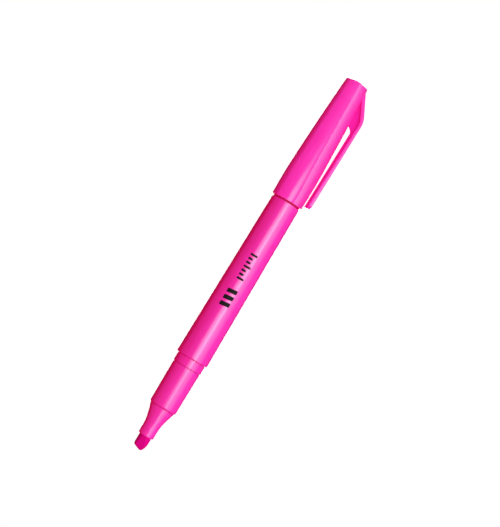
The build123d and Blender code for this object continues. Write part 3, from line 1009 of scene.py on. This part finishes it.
def softbox(
    name, turn_degrees, long, wide, power, x=CENTRE_X, distance=0.40,
    fade=None, roll=0.0, only=None, color=None, glossy=True, diffuse=True,
):
    """Rectangular studio light beside the pen at station x, its long side along the pen; distance, long
    and wide are in metres. Its turn is measured round the pen from the camera's side, positive towards
    the clip. fade gives its brightness at stops across it, from the far long edge to the near one, or
    is "soft" for a light with no edges. roll turns it about its own middle. only is the pieces that it
    lights. It can be kept out of reflections or out of plain shading."""
    turn = math.radians(turn_degrees)
    out = TOWARDS * math.cos(turn) + OUT * math.sin(turn)
    data = bpy.data.lights.new(name, "AREA")
    data.shape = "RECTANGLE"
    data.size = long
    data.size_y = wide
    data.energy = power
    if color:
        data.color = color
    if fade:
        fade_light(data, fade)
    light = bpy.data.objects.new(name, data)
    light.visible_glossy = glossy
    light.visible_diffuse = diffuse
    middle = PEN_TO_ROW @ Vector((x, 0, 0))
    facing = Matrix((ALONG, out.cross(ALONG), out)).transposed().to_4x4()
    spin = Matrix.Rotation(math.radians(roll), 4, "Z")
    light.matrix_world = Matrix.Translation(middle + out * distance) @ facing @ spin
    if only:
        receivers = bpy.data.collections.new(name + "_lights")
        for piece in only:
            receivers.objects.link(piece)
        light.light_linking.receiver_collection = receivers
    bpy.context.scene.collection.objects.link(light)
    return light


def make_floor():
    """Plain square floor, in metres."""
    half, steps = 1.5, 8
    lines = np.linspace(-half, half, steps + 1)
    row = steps + 1
    mesh = bpy.data.meshes.new("floor")
    mesh.from_pydata(
        [(x, y, 0) for y in lines for x in lines],
        [],
        [
            (j * row + i, j * row + i + 1, (j + 1) * row + i + 1, (j + 1) * row + i)
            for j in range(steps) for i in range(steps)
        ],
    )
    mesh.update()
    return bpy.data.objects.new("floor", mesh)


def make_backdrop():
    """White dome round everything, in metres, for views from low angles."""
    radius, around, rows = 1.45, 64, 16
    vertices = []
    for j in range(rows):
        lift = math.pi / 2 * j / rows
        for i in range(around):
            turn = 2 * math.pi * i / around
            vertices.append((
                radius * math.cos(lift) * math.cos(turn),
                radius * math.cos(lift) * math.sin(turn),
                radius * math.sin(lift),
            ))
    faces = []
    for j in range(rows - 1):
        for i in range(around):
            n = (i + 1) % around
            faces.append((j * around + i, (j + 1) * around + i, (j + 1) * around + n, j * around + n))
    mesh = bpy.data.meshes.new("backdrop")
    mesh.from_pydata(vertices, [], faces)
    mesh.shade_smooth()
    return bpy.data.objects.new("backdrop", mesh)


CAP_PIECES = ("cap_shell", "inner_cap_liner", "pocket_clip")


def make_lights(pen_pieces, cap_pieces):
    """The pen and the cap each have a main light, because their highlights start at different places
    round them. The cards are seen only as reflections."""
    falloff = [(0.0, 0.05), (0.5, 0.52), (1.0, 1.0)]
    softbox("pen_softbox", 47, 0.96, 0.46, 7.3, x=CENTRE_X - 60, fade=falloff, only=pen_pieces)
    softbox("cap_fill", 32, 0.60, 0.46, 5.4, x=140, fade=falloff, only=cap_pieces, glossy=False)
    softbox(
        "cap_softbox", 62, 0.70, 0.46, 4.4, x=347, distance=0.41,
        fade=[(0.0, 0.0), (0.55, 0.15), (1.0, 1.0)], roll=49, only=cap_pieces, diffuse=False,
    )
    softbox("front_card", 14, 0.28, 0.40, 2.0, x=92, fade="soft", diffuse=False)
    pink_card = (1.0, 0.10, 0.95)
    hard_edge = [(0.0, 0.0), (1.0, 1.0)]
    for name, turn, x, power, lit in (
        ("left_card", -57, CENTRE_X, 2.4, pen_pieces),
        ("cap_left_card", -41, 120, 5.0, cap_pieces),
    ):
        softbox(
            name, turn, 0.90, 0.75, power, x=x,
            fade=hard_edge, only=lit, color=pink_card, diffuse=False,
        )
    softbox("under_fill", 188, 0.60, 0.16, 1.6, glossy=False)
    softbox("back_gloss", 180, 0.60, 0.12, 1.2, diffuse=False)
    softbox(
        "end_card", 180, 0.10, 0.16, 0.10, x=250, distance=0.16,
        only=cap_pieces, color=(1.0, 0.12, 0.55),
    )


def make_studio(pieces):
    world = bpy.data.worlds.new("studio")
    world.use_nodes = True
    world.node_tree.nodes["Background"].inputs["Color"].default_value = (1, 1, 1, 1)
    world.node_tree.nodes["Background"].inputs["Strength"].default_value = 0.014
    bpy.context.scene.world = world
    bpy.context.scene.view_settings.view_transform = "Standard"
    make_lights(
        [o for o in pieces if o.name not in CAP_PIECES],
        [o for o in pieces if o.name in CAP_PIECES],
    )
    white = studio_white()
    for stage in (make_floor(), make_backdrop()):
        stage.data.materials.append(white)
        stage.visible_glossy = False
        stage.visible_diffuse = False
        stage.visible_shadow = False
        bpy.context.scene.collection.objects.link(stage)


# ---------------------------------------------------------------- put together

make_camera()
make_barrel()
make_front_section()
make_nib()
make_rear_plug()
make_cap_shell()
make_inner_cap()
make_clip()
make_print()
for node, material in (("ink_reservoir", ink_core()), ("reservoir_sleeve", clear_film())):
    carried = frame["nodes"][node]
    carried.data.materials.clear()
    carried.data.materials.append(material)
make_studio([o for o in bpy.context.scene.objects if o.type == "MESH"])
